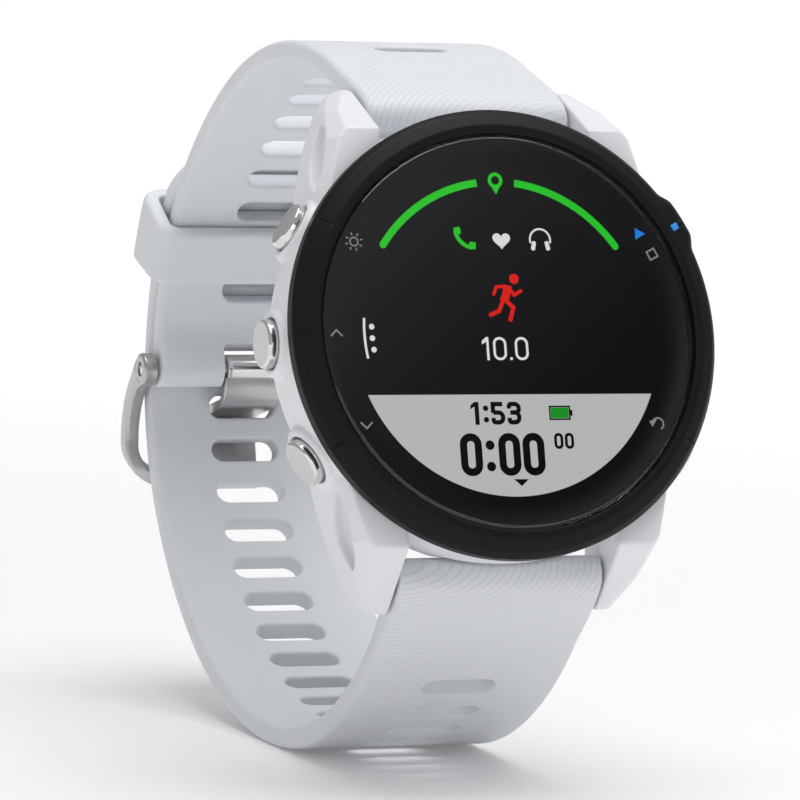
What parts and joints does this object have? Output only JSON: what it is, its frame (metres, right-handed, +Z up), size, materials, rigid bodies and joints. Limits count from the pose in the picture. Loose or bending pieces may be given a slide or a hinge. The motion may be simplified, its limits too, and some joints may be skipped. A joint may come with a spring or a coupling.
{
  "type": "gps running watch",
  "caption": "Round sports watch with side push buttons, a glass-fronted display, optical wrist sensor and a slotted silicone strap closed by a steel buckle.",
  "frame": {"origin": "centre of the object's box, on the surface that the strap loop stands on", "axes": "+Z up; +X towards 3 o'clock; the face looks towards -Y and 16 degrees up"},
  "size_m": [0.0468, 0.0876, 0.0741],
  "materials": {
    "case_white": "satin",
    "bezel_black": "satin",
    "lens_glass": "polished",
    "display_black": "smooth",
    "silicone_white": "matte, finely ribbed outside",
    "steel_brushed": "brushed",
    "steel_polished": "polished",
    "rubber_black": "matte",
    "chassis_black": "moulded",
    "board_green": "solder mask",
    "tin_plate": "stamped",
    "battery_foil": "laminate",
    "gold_plate": "plated",
    "sensor_black": "polished",
    "led_lens": "clear resin",
    "spring_steel": "drawn wire"
  },
  "bodies": {
    "watch_case": {"case_middle": "case_white", "bezel_ring": "bezel_black", "cover_lens": "lens_glass", "lens_seal": "rubber_black", "display_module": "display_black", "inner_frame": "chassis_black", "main_board": "board_green", "board_shields": "tin_plate", "battery_cell": "battery_foil", "vibration_motor": "tin_plate", "beeper": "chassis_black", "gps_antenna": "gold_plate", "button_switches": "chassis_black", "rear_cover": "case_white", "rear_seal": "rubber_black", "rear_cover_screws": "steel_brushed", "sensor_window": "sensor_black", "sensor_board": "board_green", "sensor_leds": "led_lens", "charging_port": "chassis_black", "charging_contacts": "gold_plate", "light_button_spring": "spring_steel", "up_button_spring": "spring_steel", "down_button_spring": "spring_steel", "start_button_spring": "spring_steel", "back_button_spring": "spring_steel", "button_sleeves": "steel_brushed", "upper_bar_tube": "steel_polished", "upper_bar_pin": "steel_polished", "upper_bar_spring": "spring_steel", "lower_bar_tube": "steel_polished", "lower_bar_pin": "steel_polished", "lower_bar_spring": "spring_steel"},
    "light_key": {"light_button": "steel_polished", "light_button_seal": "rubber_black", "light_button_clip": "spring_steel"},
    "up_key": {"up_button": "steel_polished", "up_button_seal": "rubber_black", "up_button_clip": "spring_steel"},
    "down_key": {"down_button": "steel_polished", "down_button_seal": "rubber_black", "down_button_clip": "spring_steel"},
    "start_key": {"start_button": "steel_polished", "start_button_seal": "rubber_black", "start_button_clip": "spring_steel"},
    "back_key": {"back_button": "steel_polished", "back_button_seal": "rubber_black", "back_button_clip": "spring_steel"},
    "buckle_half": {"buckle_strap": "silicone_white"},
    "hole_half": {"hole_strap": "silicone_white"},
    "keeper": {"keeper_loop": "silicone_white"},
    "buckle": {"buckle_frame": "steel_brushed", "buckle_pin": "steel_polished"},
    "tongue": {"buckle_tongue": "steel_brushed"},
    "upper_release": {"upper_release_pin": "steel_brushed"},
    "lower_release": {"lower_release_pin": "steel_brushed"}
  },
  "joints": [
    {"name": "light_press", "type": "slide", "parent": "watch_case", "child": "light_key", "axis": [0.8616, -0.1399, -0.4879], "range_m": [0, 0.00045], "stiffness_N_per_m": 4000},
    {"name": "up_press", "type": "slide", "parent": "watch_case", "child": "up_key", "axis": [1, 0, 0], "range_m": [0, 0.00045], "stiffness_N_per_m": 4000},
    {"name": "down_press", "type": "slide", "parent": "watch_case", "child": "down_key", "axis": [0.8616, 0.1399, 0.4879], "range_m": [0, 0.00045], "stiffness_N_per_m": 4000},
    {"name": "start_press", "type": "slide", "parent": "watch_case", "child": "start_key", "axis": [-0.8616, -0.1399, -0.4879], "range_m": [0, 0.00045], "stiffness_N_per_m": 4000},
    {"name": "back_press", "type": "slide", "parent": "watch_case", "child": "back_key", "axis": [-0.8616, 0.1399, 0.4879], "range_m": [0, 0.00045], "stiffness_N_per_m": 4000},
    {"name": "buckle_half_sway", "type": "hinge", "parent": "watch_case", "child": "buckle_half", "pos_m": [0.0006, -0.02304, 0.06728], "axis": [1, 0, 0], "range_deg": [-0.8, 0.2], "stiffness_Nm_per_rad": 5},
    {"name": "hole_half_sway", "type": "hinge", "parent": "watch_case", "child": "hole_half", "pos_m": [0.0006, -0.03605, 0.02191], "axis": [1, 0, 0], "range_deg": [-0.8, 0.2], "stiffness_Nm_per_rad": 5},
    {"name": "keeper_slide", "type": "hinge", "parent": "buckle_half", "child": "keeper", "pos_m": [0.0006, 0.00444, 0.03655], "axis": [1, 0, 0], "range_deg": [-9, 8]},
    {"name": "buckle_swing", "type": "hinge", "parent": "buckle_half", "child": "buckle", "pos_m": [0.0006, 0.03634, 0.03599], "axis": [1, 0, 0], "range_deg": [0, 3]},
    {"name": "tongue_swing", "type": "hinge", "parent": "buckle", "child": "tongue", "pos_m": [0.0006, 0.03634, 0.03599], "axis": [1, 0, 0], "range_deg": [0, 4]},
    {"name": "upper_release_draw", "type": "slide", "parent": "watch_case", "child": "upper_release", "axis": [1, 0, 0], "range_m": [0, 0.0012], "stiffness_N_per_m": 800},
    {"name": "lower_release_draw", "type": "slide", "parent": "watch_case", "child": "lower_release", "axis": [1, 0, 0], "range_m": [0, 0.0012], "stiffness_N_per_m": 800}
  ],
  "couplings": [
    {"joint": "hole_half_sway", "follows": "buckle_half_sway", "ratio": 1}
  ]
}
